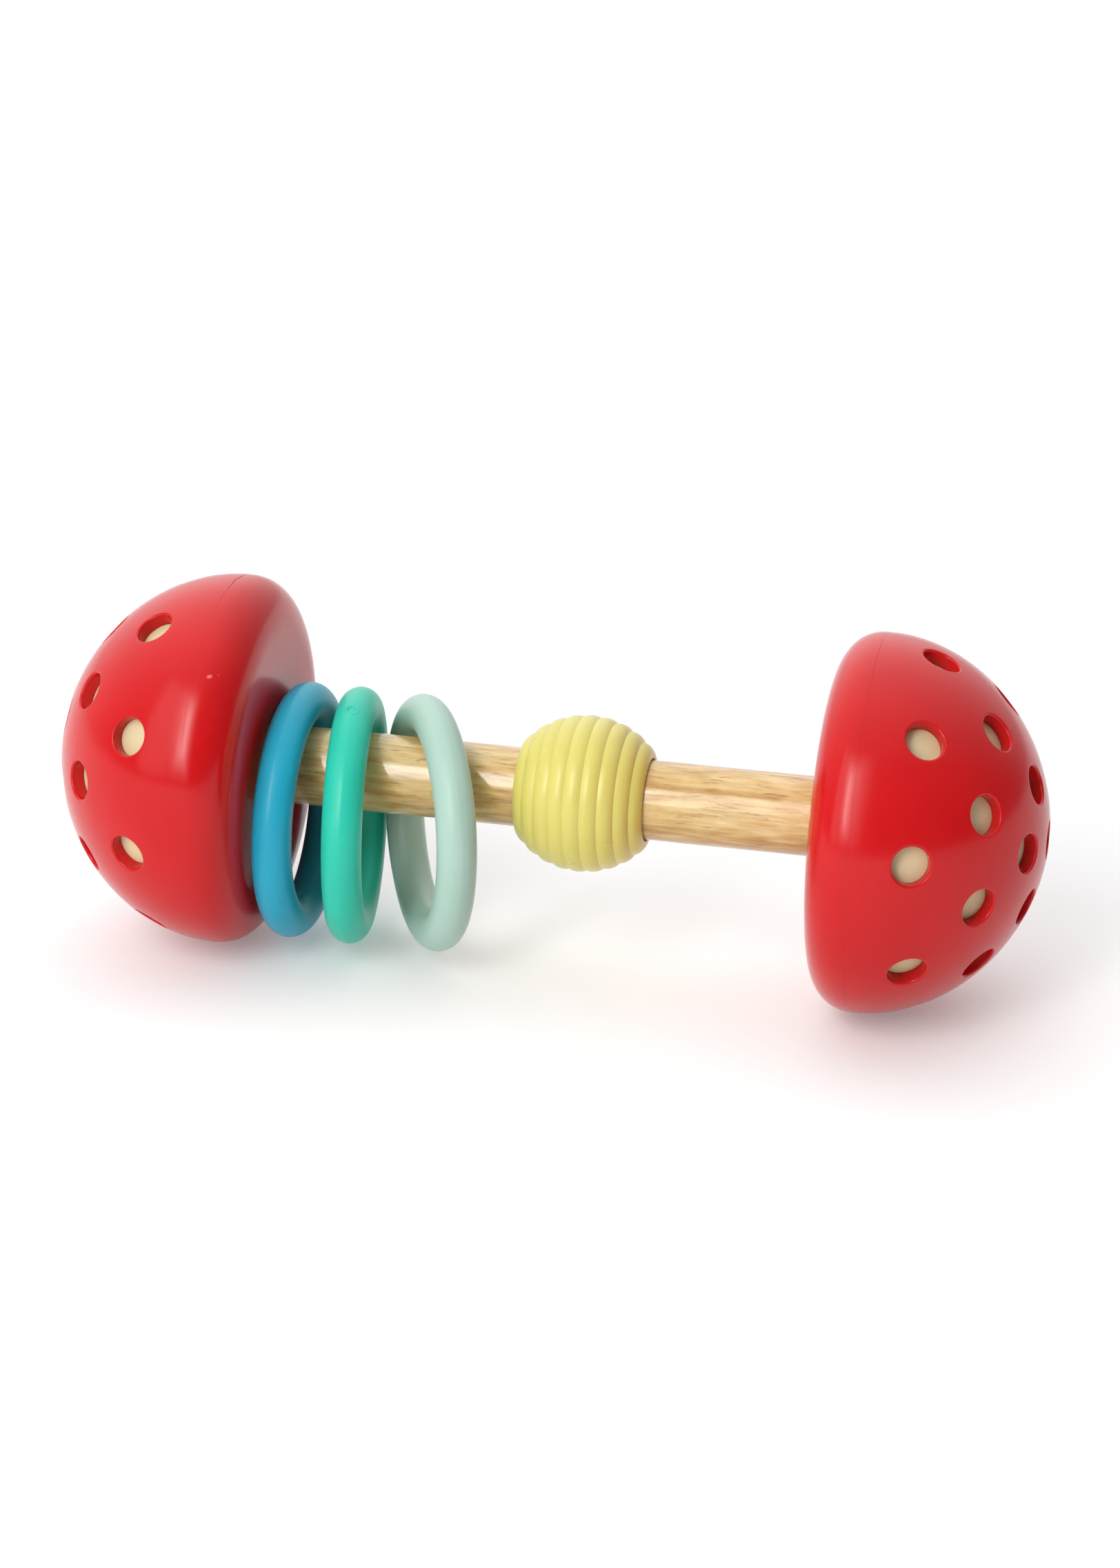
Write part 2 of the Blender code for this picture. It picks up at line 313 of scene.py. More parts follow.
def dome_layout(rim, axes):
    """Unit directions to points all over the dome, and triangles between them that leave the holes open.

    The rim's points come first, and then the edge of each hole in turn.
    """
    loops = [on_dome_round(axis, HOLE_REACH, 0.0)[0] for axis in axes]
    aprons = [on_dome_round(axis, HOLE_REACH + extra, 0.0)[0] for axis in axes for extra in HOLE_APRONS]
    flats = [flat_map(loop) for loop in [rim] + loops + aprons] + [spread_between(axes)]
    edges, start = [], 0
    for loop in flats[: 1 + len(loops)]:
        count = len(loop)
        edges += [(start + i, start + (i + 1) % count) for i in range(count)]
        start += count
    flat = np.vstack(flats)
    found = delaunay_2d_cdt([Vector(p) for p in flat], edges, [], 0, 1e-9)
    source = [origins[0] for origins in found[3]]
    triangles = np.array([[source[c] for c in face] for face in found[2]])

    unit = unflat_map(flat)
    outer = unit * dome_reach(unit, 0.0)[:, None]
    middle = outer[triangles].mean(axis=1)
    middle_unit = middle / np.linalg.norm(middle, axis=1, keepdims=True)
    middle = middle_unit * dome_reach(middle_unit, 0.0)[:, None]
    triangles = triangles[clear_of_holes(middle, axes, HOLE_REACH)]
    a, b, c = (outer[triangles[:, k]] for k in range(3))
    inwards = (np.cross(b - a, c - a) * (a + b + c)).sum(axis=1) < 0
    triangles[inwards] = triangles[inwards][:, ::-1]
    return unit, triangles


def spread_between(axes):
    """Even points in rows round the dome's pole, in the flat map, but for those too close to a hole."""
    rows = []
    for step in range(1, DOME_ROWS):
        polar = math.radians(90 * step / DOME_ROWS)
        count = max(6, round(DOME_COLUMNS * math.sin(polar)))
        angles = (np.arange(count) + 0.5 * (step % 2)) * 2 * math.pi / count
        rows.append(math.tan(polar / 2) * np.stack([-np.sin(angles), np.cos(angles)], axis=1))
    flat = np.vstack(rows)
    unit = unflat_map(flat)
    surface = unit * dome_reach(unit, 0.0)[:, None]
    return flat[clear_of_holes(surface, axes, HOLE_REACH + HOLE_CLEARING)]


def clear_of_holes(points, axes, distance):
    """Which of the points lie further than a distance from every hole's axis."""
    clear = np.ones(len(points), bool)
    for axis in axes:
        clear &= np.linalg.norm(np.cross(points, axis), axis=1) > distance
    return clear


class Shell:
    """A mesh with a normal at each face's corners, built from loops of points and strips between them."""

    def __init__(self):
        self.points, self.faces, self.normals = [], [], []
        self.total = 0

    def add(self, points):
        """Adds points and returns their numbers."""
        numbers = list(range(self.total, self.total + len(points)))
        self.points.append(points)
        self.total += len(points)
        return numbers

    def face(self, corners, normals):
        self.faces.append([int(corner) for corner in corners])
        self.normals += list(normals)

    def strip(self, upper, lower, upper_normals, lower_normals):
        """Quads between two loops of the same count, facing the side their normals say."""
        for i in range(len(upper)):
            j = (i + 1) % len(upper)
            normals = [upper_normals[i], upper_normals[j], lower_normals[j], lower_normals[i]]
            self.face([upper[i], upper[j], lower[j], lower[i]], normals)


def add_hole(shell, axis, outer_loop, inner_loop, inner_normals):
    """A rounded edge, a straight wall and the edge of the inner surface, between a hole's two loops."""
    upper = outer_loop
    upper_normals = dome_normals(on_dome_round(axis, HOLE_REACH, 0.0)[0], 0.0)
    for degrees in range(15, 91, 15):
        t = math.radians(degrees)
        at, radial = on_dome_round(axis, HOLE_RADIUS + HOLE_EDGE * (1 - math.sin(t)), 0.0)
        lower = shell.add(at - np.array(axis) * HOLE_EDGE * (1 - math.cos(t)))
        lower_normals = math.cos(t) * dome_normals(at, 0.0) - math.sin(t) * radial
        shell.strip(upper, lower, upper_normals, lower_normals)
        upper, upper_normals = lower, lower_normals
    bottom, radial = on_dome_round(axis, HOLE_RADIUS, WALL)
    lower = shell.add(bottom)
    shell.strip(upper, lower, -radial, -radial)
    shell.strip(lower, inner_loop, -dome_normals(bottom, WALL), inner_normals)


def add_rim(shell, turn, radial, outer_loop, inner_loop, top, open_seam):
    """A rounded outer edge and a flat joint face, with a fine uneven gap at the seam."""
    half_gap = np.array([seam_half_gap(angle, top, open_seam) for angle in turn])
    wave = np.array([seam_wave(angle, top) for angle in turn])
    edge_radius = (SEAM_EDGE + half_gap)[:, None]
    seam = (-SEAM_DROP + wave + half_gap)[:, None]
    ahead = np.array([[1.0, 0.0, 0.0]])
    upper, upper_normals = outer_loop, radial
    for degrees in (0, 30, 60, 90):
        t = math.radians(degrees)
        shrink = edge_radius * (1 - math.cos(t))
        lower = shell.add(radial * (CAP_RADIUS - shrink) + ahead * (seam + edge_radius * (1 - math.sin(t))))
        lower_normals = math.cos(t) * radial - math.sin(t) * ahead
        shell.strip(upper, lower, upper_normals, lower_normals)
        upper, upper_normals = lower, lower_normals
    lower = shell.add(radial * (CAP_RADIUS - WALL) + ahead * seam)
    down = np.repeat(-ahead, RIM_SIDES, axis=0)
    shell.strip(upper, lower, down, down)
    shell.strip(lower, inner_loop, -radial, -radial)


def dome_mesh(top, open_seam):
    """Points, faces and corner normals of a cap's dome, from the middle of its parting plane, x outwards.

    top is the angle at which the placed cap's top will be, and open_seam half the seam's widest gap.
    """
    axes = hole_axes()
    turn = -np.arange(RIM_SIDES) * 2 * math.pi / RIM_SIDES
    rim = np.stack([np.zeros(RIM_SIDES), -np.sin(turn), np.cos(turn)], axis=1) * CAP_RADIUS
    unit, triangles = dome_layout(rim, axes)
    outer = unit * dome_reach(unit, 0.0)[:, None]
    inner = unit * dome_reach(unit, WALL)[:, None]
    outer_normals = dome_normals(outer, 0.0)
    inner_normals = -dome_normals(inner, WALL)
    shell = Shell()
    outer_numbers = shell.add(outer)
    inner_numbers = shell.add(inner)
    for face in triangles:
        back = face[::-1]
        shell.face(face, outer_normals[face])
        shell.face(back + len(outer), inner_normals[back])
    for i, axis in enumerate(axes):
        start = RIM_SIDES + i * HOLE_SIDES
        loop = slice(start, start + HOLE_SIDES)
        add_hole(shell, axis, outer_numbers[loop], inner_numbers[loop], inner_normals[loop])
    rim_loops = outer_numbers[:RIM_SIDES], inner_numbers[:RIM_SIDES]
    add_rim(shell, turn, rim / CAP_RADIUS, *rim_loops, top, open_seam)
    return np.vstack(shell.points), shell.faces, np.array(shell.normals)


def seam_wave(angle, top):
    """How far the seam wanders along the handle at an angle round the cap, with small jogs near its top."""
    slow = 0.02 * MM * math.sin(3 * angle + 0.6) + 0.01 * MM * math.sin(9 * angle + 2.0)
    near_top = math.exp(-((math.sin((angle - top) / 2) / 0.2) ** 2))
    return slow + near_top * MM * (0.06 * math.sin(23 * angle) + 0.045 * math.sin(51 * angle + 1.0))


def seam_half_gap(angle, top, widest):
    """Half the seam's gap, which opens behind the top, and a little in front of it."""
    behind = math.sin((angle - top - SEAM_OPEN_AT) / 2) / math.sin(SEAM_OPEN_SPREAD)
    front = math.sin((angle - top - SEAM_HAIRLINE_AT) / 2) / math.sin(SEAM_HAIRLINE_SPREAD)
    return SEAM_CLOSED + widest * math.exp(-(behind**2)) + SEAM_HAIRLINE * math.exp(-(front**2))


def place_dome(mesh, direction, turn):
    """The dome's points, faces and normals in the row frame for one end."""
    points, faces, normals = mesh
    mirror = np.array([direction, 1, 1])
    roll = np.array(Matrix.Rotation(math.radians(turn), 3, "X"))
    placed = (points * mirror) @ roll.T + np.array([direction * (FLAT_BACK_X + PARTING_HEIGHT), 0, 0])
    turned = (normals * mirror) @ roll.T
    if direction < 0:
        flipped, order, at = [], [], 0
        for face in faces:
            flipped.append(face[::-1])
            order += list(range(at + len(face) - 1, at - 1, -1))
            at += len(face)
        faces, turned = flipped, turned[order]
    return placed, faces, turned


# ---------------------------------------------------------------- other profiles


def back_profile():
    """The back cover: lip, seam edge, rounded corner, flat face, dowel socket and inner floor."""
    rim = PARTING_HEIGHT - SEAM_DROP
    lip_top = PARTING_HEIGHT + LIP_HEIGHT
    lip_outer = CAP_RADIUS - WALL - GAP
    lip_inner = lip_outer - LIP_WALL
    corner = CAP_RADIUS - BACK_FLAT_RADIUS
    bore = DOWEL_RADIUS + GAP
    outside = oval_arc(corner, rim - SEAM_EDGE, BACK_EXPONENT, 0, 90, 28)
    inside = oval_arc(lip_inner - BACK_FLAT_RADIUS, rim - WALL, BACK_EXPONENT, 90, 0, 12)
    points = [(lip_outer - 0.3 * MM, lip_top), (lip_outer, lip_top - 0.4 * MM), (lip_outer, rim)]
    for degrees in (90, 60, 30, 0):
        t = math.radians(degrees)
        points.append((CAP_RADIUS - SEAM_EDGE * (1 - math.cos(t)), rim - SEAM_EDGE * (1 - math.sin(t))))
    # A point just under the fine edge keeps its shading from spreading down the side.
    points.append((CAP_RADIUS, rim - SEAM_EDGE - 0.003 * MM))
    points += [(BACK_FLAT_RADIUS + r, rim - SEAM_EDGE - h) for r, h in outside[1:]]
    mouth = 0.35 * MM
    for degrees in (0, 22.5, 45, 67.5, 90):
        t = math.radians(degrees)
        points.append((bore + mouth * (1 - math.sin(t)), mouth * (1 - math.cos(t))))
    socket_top = SOCKET_DEPTH + SOCKET_FLOOR
    points += [
        (bore, SOCKET_DEPTH),
        (PILOT_RADIUS, SOCKET_DEPTH),
        (PILOT_RADIUS, socket_top),
        (SOCKET_OUTER_RADIUS - 0.3 * MM, socket_top),
        (SOCKET_OUTER_RADIUS, socket_top - 0.3 * MM),
        (SOCKET_OUTER_RADIUS, WALL + 0.8 * MM),
        (SOCKET_OUTER_RADIUS + 0.8 * MM, WALL),
    ]
    points += [(BACK_FLAT_RADIUS + r, rim - h) for r, h in inside]
    points += [(lip_inner, lip_top - 0.3 * MM), (lip_inner + 0.3 * MM, lip_top)]
    return points


def dome_arc(inset, from_height):
    """The dome's profile at this depth under its surface, from the axis down to a height."""
    axial = DOME_HEIGHT - inset
    sine = ((from_height - PARTING_HEIGHT) / axial) ** (DOME_EXPONENT / 2)
    arc = oval_arc(CAP_RADIUS - inset, axial, DOME_EXPONENT, 90, math.degrees(math.asin(sine)), 40)
    return [(radius, PARTING_HEIGHT + height) for radius, height in arc]


def liner_profile():
    """The shell under the dome, which closes its holes."""
    bottom = PARTING_HEIGHT + LIP_HEIGHT + GAP
    return dome_arc(WALL + LINER_GAP, bottom) + dome_arc(WALL + GAP + LINER_WALL, bottom)[::-1]


def dome_radius(inset, height):
    """The radius of the dome at a height, at this depth under its surface."""
    share = (height - PARTING_HEIGHT) / (DOME_HEIGHT - inset)
    return (CAP_RADIUS - inset) * (1 - share**DOME_EXPONENT) ** (1 / DOME_EXPONENT)


def plate_profile():
    """The plate under the beads, with a shallow ring round its middle and a sleeve down to the back."""
    top = PLATE_HEIGHT + PLATE_THICKNESS
    edge = dome_radius(WALL + GAP + LINER_WALL, top) - GAP
    outline = [
        (0.0, top),
        (1.1 * MM, top),
        (1.2 * MM, top + 0.15 * MM),
        (1.9 * MM, top + 0.15 * MM),
        (2.0 * MM, top),
        (edge, top),
        (edge, PLATE_HEIGHT),
        (SLEEVE_RADIUS, PLATE_HEIGHT),
        (SLEEVE_RADIUS, WALL + GAP),
        (SLEEVE_RADIUS - SLEEVE_WALL, WALL + GAP),
        (SLEEVE_RADIUS - SLEEVE_WALL, PLATE_HEIGHT),
        (0.0, PLATE_HEIGHT),
    ]
    return rounded(outline, 0.35 * MM)


def washer_profile(bottom):
    hole = SCREW_RADIUS + GAP
    top = bottom + WASHER_THICKNESS
    return rounded([(WASHER_RADIUS, top), (WASHER_RADIUS, bottom), (hole, bottom), (hole, top)], 0.2 * MM)


def screw_mesh(seat):
    """A pan-head screw with a cross recess and a coarse thread."""
    tip, rows, power = seat - SCREW_LENGTH, 96, SCREW_HEAD_EXPONENT
    profile = [(0.12 * MM * i, seat + SCREW_HEAD_HEIGHT) for i in range(21)]
    profile += [(r, seat + h) for r, h in oval_arc(SCREW_HEAD_RADIUS, SCREW_HEAD_HEIGHT, power, 44, 0, 10)]
    profile.append((SCREW_RADIUS, seat))
    profile += [(SCREW_RADIUS, seat - 1.5 * MM - (SCREW_LENGTH - 2 * MM) * i / rows) for i in range(rows)]
    profile.append((0.0, tip))

    def shape(radius, angle, height):
        if height > seat + 1e-6 and radius < 2.5 * MM:
            top = SCREW_HEAD_HEIGHT * (1 - (radius / SCREW_HEAD_RADIUS) ** power) ** (1 / power)
            x, y = abs(radius * math.cos(angle)), abs(radius * math.sin(angle))
            across = min(x, y)
            cut = max(0.0, min(1.0, (0.42 * MM - across) / (0.12 * MM)))
            taper = max(0.0, min(1.0, (2.15 * MM - radius) / (0.9 * MM)))
            return radius, angle, seat + top - SCREW_RECESS * cut * taper
        if height < seat - 1.4 * MM:
            phase = ((height - seat) / THREAD_PITCH - angle / (2 * math.pi)) % 1.0
            crest = max(0.0, 1 - abs(phase - 0.5) / 0.3)
            near_tip = min(1.0, (height - tip) / (4 * SCREW_RADIUS))
            return radius * (0.7 + 0.3 * crest) * near_tip**0.6, angle, height
        return radius, angle, height

    points, faces = lathe(profile, 48, shape)
    points[0] = (0.0, 0.0, seat + SCREW_HEAD_HEIGHT - SCREW_RECESS)
    return points, faces


def ball_profile():
    """Rounded ribs of equal width along an oval, rounded ends and a plain bore."""
    widest = math.acos((BALL_BORE_RADIUS + 0.5 * MM) / (BALL_RADIUS - 0.3 * MM))
    steps = RIB_COUNT * 16
    points = []
    for i in range(steps + 1):
        share = i / steps
        angle = widest * (1 - 2 * share)
        across = (share * RIB_COUNT) % 1.0 if 0 < i < steps else 0.0
        depth = RIB_DEPTH * abs(2 * across - 1) ** 2.1
        points.append(((BALL_RADIUS - depth) * math.cos(angle), (BALL_HALF_LENGTH - depth) * math.sin(angle)))
    end = points[0][1]
    inner = [(BALL_BORE_RADIUS + 0.12 * MM, -end + 0.02 * MM), (BALL_BORE_RADIUS, -end + 0.3 * MM)]
    return points + inner + [(r, -h) for r, h in inner[::-1]]


def refined(count, centre, reach, extra):
    """Even angles all round, with extra ones close to a centre."""
    even = np.arange(count) * 2 * math.pi / count
    far = np.abs((even - centre + math.pi) % (2 * math.pi) - math.pi) > reach
    close = centre + np.linspace(-reach, reach, extra)
    return np.sort(np.concatenate([even[far], close % (2 * math.pi)]))


def ring_mesh(mark=None):
    """A torus about Z with a faint moulding line round its outside.

    mark is the angle of a gate mark there: a small flat dimple with a slightly raised, uneven lip.
    """
    around = refined(count=160, centre=mark or 0.0, reach=0.09, extra=34)
    across = refined(count=40, centre=0.0, reach=0.5, extra=30)
    points, faces = [], []
    for a in around:
        for b in across:
            off = (b + math.pi) % (2 * math.pi) - math.pi
            tube = RING_TUBE_RADIUS + MOULD_LINE * math.exp(-((off / 0.12) ** 2))
            if mark is not None:
                along = (a - mark) * (RING_RADIUS + RING_TUBE_RADIUS)
                away = math.hypot(along, off * RING_TUBE_RADIUS)
                uneven = 1 + 0.25 * noise.noise(Vector((along / MM, off * 4, 0.5)) * 1.6)
                from_edge = (away - GATE_MARK_RADIUS * uneven) / (0.1 * MM)
                from_lip = (away - GATE_LIP_RADIUS * uneven) / (0.14 * MM)
                tube -= GATE_DIMPLE * (1 - math.tanh(from_edge))
                tube += GATE_LIP * uneven * math.exp(-(from_lip**2))
            r = RING_RADIUS + tube * math.cos(b)
            points.append((r * math.cos(a), r * math.sin(a), tube * math.sin(b)))
    for i in range(len(around)):
        for j in range(len(across)):
            k, m = (i + 1) % len(around), (j + 1) % len(across)
            here, there = i * len(across), k * len(across)
            faces.append([here + j, there + j, there + m, here + m])
    return points, faces


def bead_mesh(radius):
    """A moulded bead with a faint line round its middle."""
    line, steps = 0.03 * MM, 24
    profile = []
    for i in range(steps + 1):
        a = math.pi * i / steps
        r = radius + line * math.exp(-(((a - math.pi / 2) / 0.09) ** 2)) - line
        profile.append((r * math.sin(a), r * math.cos(a)))
    profile[0], profile[-1] = (0.0, profile[0][1]), (0.0, profile[-1][1])
    return lathe(profile, 36)


def dowel_shape(radius, angle, height):
    """The turned dowel is a little uneven along its length and round it."""
    if radius > 0.9 * DOWEL_RADIUS:
        where = Vector((math.cos(angle) * 0.8, math.sin(angle) * 0.8, height / (9 * MM)))
        uneven = 0.03 * MM
        radius += uneven * noise.noise(where) - uneven
    return radius, angle, height


def dowel_profile():
    """The rod with a rounded edge and a pilot hole at each end, and rows along it for its unevenness."""
    end, edge, rows = FLAT_BACK_X + SOCKET_DEPTH - GAP, 0.4 * MM, 60
    half = [(0.0, end - PILOT_DEPTH), (PILOT_RADIUS, end - PILOT_DEPTH), (PILOT_RADIUS, end)]
    half.append((DOWEL_RADIUS - edge, end))
    for t in (0.5, 1.0, 1.57):
        half.append((DOWEL_RADIUS - edge * (1 - math.sin(t)), end - edge * (1 - math.cos(t))))
    half += [(DOWEL_RADIUS, (end - 0.5 * MM) * (1 - i / rows)) for i in range(rows)]
    return half + [(DOWEL_RADIUS, 0.0)] + [(r, -h) for r, h in half[::-1]]


# ---------------------------------------------------------------- materials


class Nodes:
    """Short names for building a material or world node by node."""

    def __init__(self, tree):
        self.tree = tree

    def new(self, kind, **inputs):
        node = self.tree.nodes.new(f"ShaderNode{kind}")
        for key, value in inputs.items():
            if hasattr(node, key):
                setattr(node, key, value)
            else:
                self.feed(node, key.replace("_", " "), value)
        return node

    def feed(self, node, socket, value):
        if isinstance(value, bpy.types.NodeSocket):
            self.tree.links.new(value, node.inputs[socket])
        else:
            node.inputs[socket].default_value = value

    def ramp(self, factor, stops):
        """A colour ramp through (position, colour or grey) stops."""
        node = self.tree.nodes.new("ShaderNodeValToRGB")
        while len(node.color_ramp.elements) < len(stops):
            node.color_ramp.elements.new(1.0)
        for element, (at, colour) in zip(node.color_ramp.elements, stops):
            element.position = at
            element.color = (*colour, 1.0) if isinstance(colour, tuple) else (colour, colour, colour, 1.0)
        self.feed(node, "Fac", factor)
        return node.outputs["Color"]

    def mix(self, factor, a, b, blend="MIX"):
        node = self.tree.nodes.new("ShaderNodeMix")
        node.data_type = "RGBA"
        node.blend_type = blend
        for socket, value in ((0, factor), (6, a), (7, b)):
            if isinstance(value, bpy.types.NodeSocket):
                self.tree.links.new(value, node.inputs[socket])
            else:
                node.inputs[socket].default_value = (*value, 1.0) if isinstance(value, tuple) else value
        return node.outputs[2]

    def math(self, operation, a, b):
        node = self.tree.nodes.new("ShaderNodeMath")
        node.operation = operation
        self.feed(node, 0, a)
        self.feed(node, 1, b)
        return node.outputs[0]

    def noise(self, vector, scale, detail, roughness):
        node = self.new("TexNoise", Scale=scale, Detail=detail, Roughness=roughness)
        self.feed(node, "Vector", vector)
        return node.outputs["Fac"]

    def from_point(self, vector, centre, reach):
        """Distance from a point, measured in a reach along each axis."""
        away = self.tree.nodes.new("ShaderNodeVectorMath")
        away.operation = "SUBTRACT"
        self.feed(away, 0, vector)
        away.inputs[1].default_value = centre
        scaled = self.tree.nodes.new("ShaderNodeVectorMath")
        scaled.operation = "DIVIDE"
        self.feed(scaled, 0, away.outputs[0])
        scaled.inputs[1].default_value = reach
        length = self.tree.nodes.new("ShaderNodeVectorMath")
        length.operation = "LENGTH"
        self.feed(length, 0, scaled.outputs[0])
        return length.outputs["Value"]

    def stretched(self, vector, scale, offset=(0.0, 0.0, 0.0)):
        node = self.new("Mapping", Scale=scale, Location=offset)
        self.feed(node, "Vector", vector)
        return node.outputs["Vector"]


def start_material(name):
    """A new material with its node helper, its shader and the place on the object."""
    material = bpy.data.materials.new(name)
    material.use_nodes = True
    nodes = Nodes(material.node_tree)
    shader = material.node_tree.nodes["Principled BSDF"]
    where = nodes.new("TexCoord").outputs["Object"]
    return material, nodes, shader, where


def bumps(nodes, shader, layers):
    """Chains bump nodes, given as (height, distance, strength), into the shader."""
    previous = None
    for height, distance, strength in layers:
        bump = nodes.new("Bump", Distance=distance, Strength=strength)
        nodes.feed(bump, "Height", height)
        if previous is not None:
            nodes.feed(bump, "Normal", previous)
        previous = bump.outputs["Normal"]
    nodes.feed(shader, "Normal", previous)


def moulded(
    name, colour, deep, roughness, uneven=0.05, speck=None, scuffs=(), glow=0.0, gloss=0.32, grain=0.05
):
    """Moulded plastic: slightly uneven colour and gloss, a fine grain, and a few specks and scuffs if given.

    colour drifts to deep and roughness by uneven, speck is the colour of specks and scuffs, and glow is the
    share of light that passes a little way through.
    """
    material, nodes, shader, where = start_material(name)
    clouds = nodes.noise(where, 55, 3, 0.55)
    base = nodes.mix(nodes.ramp(clouds, [(0.35, 0.0), (0.68, 1.0)]), deep, colour)
    scuff = nodes.noise(where, 420, 4, 0.6)
    rough = nodes.mix(0.35, clouds, scuff)
    rough = nodes.ramp(rough, [(0.3, roughness - uneven), (0.7, roughness + uneven)])
    if speck is not None:
        cells = nodes.new("TexVoronoi", Scale=95.0, Randomness=1.0)
        nodes.feed(cells, "Vector", where)
        dot = nodes.ramp(cells.outputs["Distance"], [(0.0, 1.0), (0.022, 1.0), (0.034, 0.0)])
        chosen = nodes.math("GREATER_THAN", cells.outputs["Color"], 0.72)
        base = nodes.mix(nodes.math("MULTIPLY", dot, chosen), base, speck)
    for centre in scuffs:
        mark = nodes.from_point(where, centre, (0.6 * MM, 1.5 * MM, 0.35 * MM))
        mark = nodes.math("ADD", mark, nodes.math("MULTIPLY", nodes.math("SUBTRACT", scuff, 0.5), 0.9))
        base = nodes.mix(nodes.ramp(mark, [(0.5, 0.6), (1.0, 0.0)]), base, speck)
    nodes.feed(shader, "Base Color", base)
    nodes.feed(shader, "Roughness", rough)
    shader.inputs["IOR"].default_value = 1.46
    shader.inputs["Specular IOR Level"].default_value = gloss
    if glow:
        shader.inputs["Subsurface Weight"].default_value = glow
        shader.inputs["Subsurface Radius"].default_value = (1.0, 0.8, 0.6)
        shader.inputs["Subsurface Scale"].default_value = 0.0015
    waves = nodes.noise(where, 70, 2, 0.4)
    fine = nodes.noise(where, 1500, 3, 0.6)
    bumps(nodes, shader, [(waves, 0.0006, 0.12), (fine, 0.00005, grain)])
    return material


def varnished_wood():
    """Pale hardwood under a clear glossy varnish: long fibres, short brown flecks and one small knot."""
    material, nodes, shader, where = start_material("varnished_wood")
    drift = nodes.noise(nodes.stretched(where, (20, 90, 90)), 1.0, 2, 0.5)
    shift = nodes.new("CombineXYZ")
    nodes.feed(shift, "Y", nodes.math("MULTIPLY", drift, 0.0035))
    nodes.feed(shift, "Z", nodes.math("MULTIPLY", drift, 0.0025))
    bent = nodes.new("VectorMath", operation="ADD")
    nodes.feed(bent, 0, where)
    nodes.feed(bent, 1, shift.outputs[0])
    along = bent.outputs[0]
    broad = nodes.noise(nodes.stretched(along, (16, 300, 300)), 1.0, 2, 0.5)
    fibres = nodes.noise(nodes.stretched(along, (60, 1900, 1900)), 1.0, 5, 0.68)
    patches = nodes.noise(nodes.stretched(along, (150, 850, 850)), 1.0, 3, 0.55)
    flecks = nodes.noise(nodes.stretched(along, (190, 1500, 1500)), 1.0, 3, 0.6)
    tone = nodes.ramp(
        nodes.mix(0.55, broad, patches),
        [(0.34, (0.41, 0.215, 0.06)), (0.49, (0.57, 0.38, 0.14)), (0.64, (0.69, 0.53, 0.265))],
    )
    base = nodes.mix(1.0, tone, nodes.ramp(fibres, [(0.34, 0.80), (0.50, 0.98), (0.7, 1.07)]), "MULTIPLY")
    fleck = nodes.ramp(flecks, [(0.32, 1.0), (0.42, 0.0)])
    base = nodes.mix(nodes.math("MULTIPLY", fleck, 0.65), base, (0.27, 0.13, 0.035))
    knot = nodes.from_point(along, KNOT, (3.2 * MM, 1.0 * MM, 1.0 * MM))
    knot = nodes.math("ADD", knot, nodes.math("MULTIPLY", nodes.math("SUBTRACT", fibres, 0.5), 1.6))
    base = nodes.mix(nodes.ramp(knot, [(0.35, 0.85), (0.95, 0.25), (1.0, 0.0)]), base, (0.36, 0.16, 0.035))
    base = nodes.mix(nodes.ramp(knot, [(0.2, 0.9), (0.5, 0.0)]), base, (0.10, 0.035, 0.01))
    nodes.feed(shader, "Base Color", base)
    nodes.feed(shader, "Roughness", nodes.ramp(fibres, [(0.3, 0.46), (0.7, 0.34)]))
    shader.inputs["Specular IOR Level"].default_value = 0.15
    shader.inputs["Coat Weight"].default_value = 1.0
    shader.inputs["Coat Roughness"].default_value = 0.07
    shader.inputs["Coat IOR"].default_value = 1.44
    swell = nodes.noise(nodes.stretched(where, (35, 420, 420)), 1.0, 2, 0.5)
    ridges = nodes.noise(nodes.stretched(along, (110, 1500, 1500), (0.3, 0.0, 0.0)), 1.0, 3, 0.55)
    uneven = nodes.ramp(nodes.noise(where, 45, 2, 0.5), [(0.4, 0.15), (0.62, 1.0)])
    ridges = nodes.math("MULTIPLY", ridges, uneven)
    bumps(nodes, shader, [(swell, 0.0001, 0.25), (ridges, 0.0001, 0.34), (fibres, 0.00001, 0.3)])
    nodes.feed(shader, "Coat Normal", shader.inputs["Normal"].links[0].from_socket)
    return material


def brushed_steel():
    """Plain metal with fine scratches across the handle's axis."""
    material, nodes, shader, where = start_material("steel")
    scratch = nodes.noise(nodes.stretched(where, (3500, 400, 400)), 1.0, 3, 0.6)
    grey = nodes.ramp(scratch, [(0.3, (0.50, 0.50, 0.52)), (0.7, (0.68, 0.68, 0.69))])
    nodes.feed(shader, "Base Color", grey)
    nodes.feed(shader, "Roughness", nodes.ramp(scratch, [(0.3, 0.22), (0.7, 0.38)]))
    shader.inputs["Metallic"].default_value = 1.0
    bumps(nodes, shader, [(scratch, 0.00004, 0.3)])
    return material


def floor_material():
    """A plain pale floor that glows a little."""
    material, nodes, shader, where = start_material("pale_floor")
    cloud = nodes.noise(where, 3, 2, 0.5)
    nodes.feed(shader, "Base Color", nodes.ramp(cloud, [(0.3, 0.70), (0.7, 0.73)]))
    shader.inputs["Roughness"].default_value = 0.9
    shader.inputs["Specular IOR Level"].default_value = 0.0
    shader.inputs["Emission Color"].default_value = (1.0, 1.0, 1.0, 1.0)
    # The far floor glows more, since the soft boxes don't reach it.
    away = nodes.from_point(where, (0.0, 0.0, 0.0), (1.0, 1.0, 1.0))
    nodes.feed(shader, "Emission Strength", nodes.ramp(away, [(0.3, 0.2), (1.0, 0.36)]))
    return material


# ---------------------------------------------------------------- pieces


